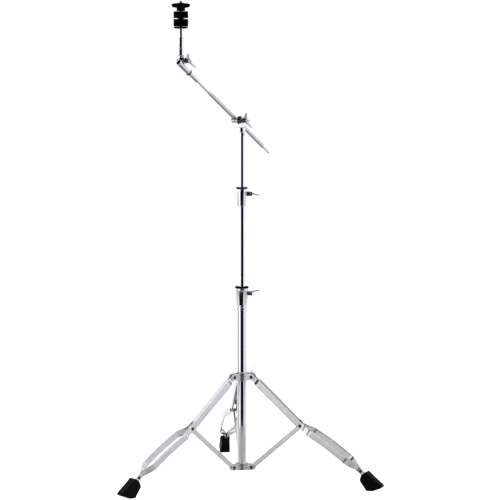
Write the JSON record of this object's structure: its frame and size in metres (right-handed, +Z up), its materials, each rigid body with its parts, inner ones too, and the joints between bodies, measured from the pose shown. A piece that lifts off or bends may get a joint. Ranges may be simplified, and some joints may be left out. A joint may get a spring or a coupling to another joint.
{
  "type": "cymbal boom stand",
  "caption": "Folding tripod stand with telescoping tubes, clamp collars, a sliding boom arm on a ratchet joint, and a tilter with felts and a wing nut for a cymbal.",
  "frame": {"origin": "on the floor, at the centre of the stand's outline seen from above", "axes": "+Z up along the tubes, +Y towards the rear leg, +X to the right seen from the front"},
  "size_m": [0.7054, 0.6113, 1.2824],
  "materials": {
    "chrome": "mirror-bright plating",
    "plated_casting": "satin plated die casting",
    "plated_strip": "bright plated pressed strip",
    "rubber": "matt moulded rubber",
    "black_plastic": "satin moulded plastic",
    "felt": "pressed wool felt"
  },
  "bodies": {
    "base": {"base_tube": "chrome", "lower_hub": "plated_casting", "tube_band": "chrome", "hub_rivet_1": "chrome", "hub_rivet_2": "chrome", "hub_rivet_3": "chrome", "lower_clamp": "chrome", "lower_clamp_nut": "chrome"},
    "lower_wing": {"lower_wing_bolt": "chrome"},
    "strut_1": {"strut_1": "plated_strip"},
    "strut_2": {"strut_2": "plated_strip"},
    "strut_3": {"strut_3": "plated_strip"},
    "leg_1": {"leg_strip_left_1": "plated_strip", "leg_strip_right_1": "plated_strip", "knee_rivet_1": "chrome", "collar_rivet_1": "chrome", "foot_rivet_1": "chrome", "rubber_foot_1": "rubber"},
    "leg_2": {"leg_strip_left_2": "plated_strip", "leg_strip_right_2": "plated_strip", "knee_rivet_2": "chrome", "collar_rivet_2": "chrome", "foot_rivet_2": "chrome", "rubber_foot_2": "rubber"},
    "leg_3": {"leg_strip_left_3": "plated_strip", "leg_strip_right_3": "plated_strip", "knee_rivet_3": "chrome", "collar_rivet_3": "chrome", "foot_rivet_3": "chrome", "rubber_foot_3": "rubber"},
    "collar": {"leg_collar": "plated_casting"},
    "collar_wing": {"collar_wing_bolt": "chrome"},
    "lower_swivel": {"lower_bushing": "black_plastic"},
    "middle": {"middle_tube": "chrome", "upper_clamp": "chrome", "upper_clamp_nut": "chrome"},
    "upper_wing": {"upper_wing_bolt": "chrome"},
    "upper_swivel": {"upper_bushing": "black_plastic"},
    "top": {"top_tube": "chrome", "boom_yoke": "plated_casting", "yoke_screw": "chrome"},
    "boom_head": {"boom_holder": "plated_casting", "boom_clamp_bolt": "chrome"},
    "boom_wing": {"boom_wing_nut": "chrome"},
    "boom": {"boom_sleeve": "chrome", "boom_rod": "chrome", "tilter_socket": "plated_casting", "tilter_set_screw": "chrome"},
    "tilter": {"tilter_head": "plated_casting", "tilter_bolt": "chrome", "cymbal_rod": "chrome", "cup_washer": "black_plastic", "cymbal_sleeve": "black_plastic", "lower_felt": "felt", "upper_felt": "felt"},
    "tilter_wing": {"tilter_wing_nut": "chrome"},
    "cymbal_nut": {"cymbal_wing_nut": "black_plastic"}
  },
  "joints": [
    {"name": "strut_1_hinge", "type": "hinge", "parent": "base", "child": "strut_1", "pos_m": [0, -0.0655, 0.036], "axis": [1, 0, 0], "range_deg": [0, 45]},
    {"name": "leg_1_hinge", "type": "hinge", "parent": "strut_1", "child": "leg_1", "pos_m": [0, 0.0745, 0.159], "axis": [1, 0, 0], "range_deg": [-90, 0]},
    {"name": "strut_2_hinge", "type": "hinge", "parent": "base", "child": "strut_2", "pos_m": [-0.02598, -0.1105, 0.036], "axis": [-0.5, 0.866, 0], "range_deg": [0, 45]},
    {"name": "leg_2_hinge", "type": "hinge", "parent": "strut_2", "child": "leg_2", "pos_m": [-0.14722, -0.1805, 0.159], "axis": [-0.5, 0.866, 0], "range_deg": [-90, 0]},
    {"name": "strut_3_hinge", "type": "hinge", "parent": "base", "child": "strut_3", "pos_m": [0.02598, -0.1105, 0.036], "axis": [-0.5, -0.866, 0], "range_deg": [0, 45]},
    {"name": "leg_3_hinge", "type": "hinge", "parent": "strut_3", "child": "leg_3", "pos_m": [0.14722, -0.1805, 0.159], "axis": [-0.5, -0.866, 0], "range_deg": [-90, 0]},
    {"name": "collar_hinge", "type": "hinge", "parent": "leg_1", "child": "collar", "pos_m": [0, -0.0655, 0.282], "axis": [1, 0, 0], "range_deg": [0, 45]},
    {"name": "collar_wing_turn", "type": "hinge", "parent": "collar", "child": "collar_wing", "pos_m": [0.02338, -0.082, 0.284], "axis": [0.866, 0.5, 0], "continuous": true},
    {"name": "lower_wing_turn", "type": "hinge", "parent": "base", "child": "lower_wing", "pos_m": [0.02319, -0.09219, 0.5075], "axis": [0.1392, 0.9903, 0], "continuous": true},
    {"name": "middle_swivel", "type": "hinge", "parent": "base", "child": "lower_swivel", "pos_m": [0, -0.0955, 0.523], "axis": [0, 0, 1], "continuous": true},
    {"name": "middle_slide", "type": "slide", "parent": "lower_swivel", "child": "middle", "axis": [0, 0, 1], "range_m": [-0.21, 0.1]},
    {"name": "upper_wing_turn", "type": "hinge", "parent": "middle", "child": "upper_wing", "pos_m": [0.02319, -0.09219, 0.774], "axis": [0.1392, 0.9903, 0], "continuous": true},
    {"name": "top_swivel", "type": "hinge", "parent": "middle", "child": "upper_swivel", "pos_m": [0, -0.0955, 0.789], "axis": [0, 0, 1], "continuous": true},
    {"name": "top_slide", "type": "slide", "parent": "upper_swivel", "child": "top", "axis": [0, 0, 1], "range_m": [-0.135, 0.13]},
    {"name": "boom_tilt", "type": "hinge", "parent": "top", "child": "boom_head", "pos_m": [0, -0.0955, 0.969], "axis": [-0.7478, 0.6639, 0], "range_deg": [-45, 45]},
    {"name": "boom_wing_turn", "type": "hinge", "parent": "boom_head", "child": "boom_wing", "pos_m": [0.00322, -0.09835, 0.969], "axis": [0.7478, -0.6639, 0], "continuous": true},
    {"name": "boom_slide", "type": "slide", "parent": "boom_head", "child": "boom", "axis": [-0.5691, -0.641, 0.515], "range_m": [-0.13, 0.13]},
    {"name": "tilter_tilt", "type": "hinge", "parent": "boom", "child": "tilter", "pos_m": [-0.17346, -0.26527, 1.13105], "axis": [0.7478, -0.6639, 0], "range_deg": [-60, 35]},
    {"name": "tilter_wing_turn", "type": "hinge", "parent": "tilter", "child": "tilter_wing", "pos_m": [-0.16845, -0.26972, 1.13105], "axis": [0.7478, -0.6639, 0], "continuous": true},
    {"name": "cymbal_nut_turn", "type": "hinge", "parent": "tilter", "child": "cymbal_nut", "pos_m": [-0.17892, -0.26043, 1.27105], "axis": [0, 0, 1], "continuous": true}
  ],
  "couplings": [
    {"joint": "leg_1_hinge", "follows": "strut_1_hinge", "ratio": -2},
    {"joint": "strut_2_hinge", "follows": "strut_1_hinge", "ratio": 1},
    {"joint": "leg_2_hinge", "follows": "strut_1_hinge", "ratio": -2},
    {"joint": "strut_3_hinge", "follows": "strut_1_hinge", "ratio": 1},
    {"joint": "leg_3_hinge", "follows": "strut_1_hinge", "ratio": -2},
    {"joint": "collar_hinge", "follows": "strut_1_hinge", "ratio": 1}
  ]
}
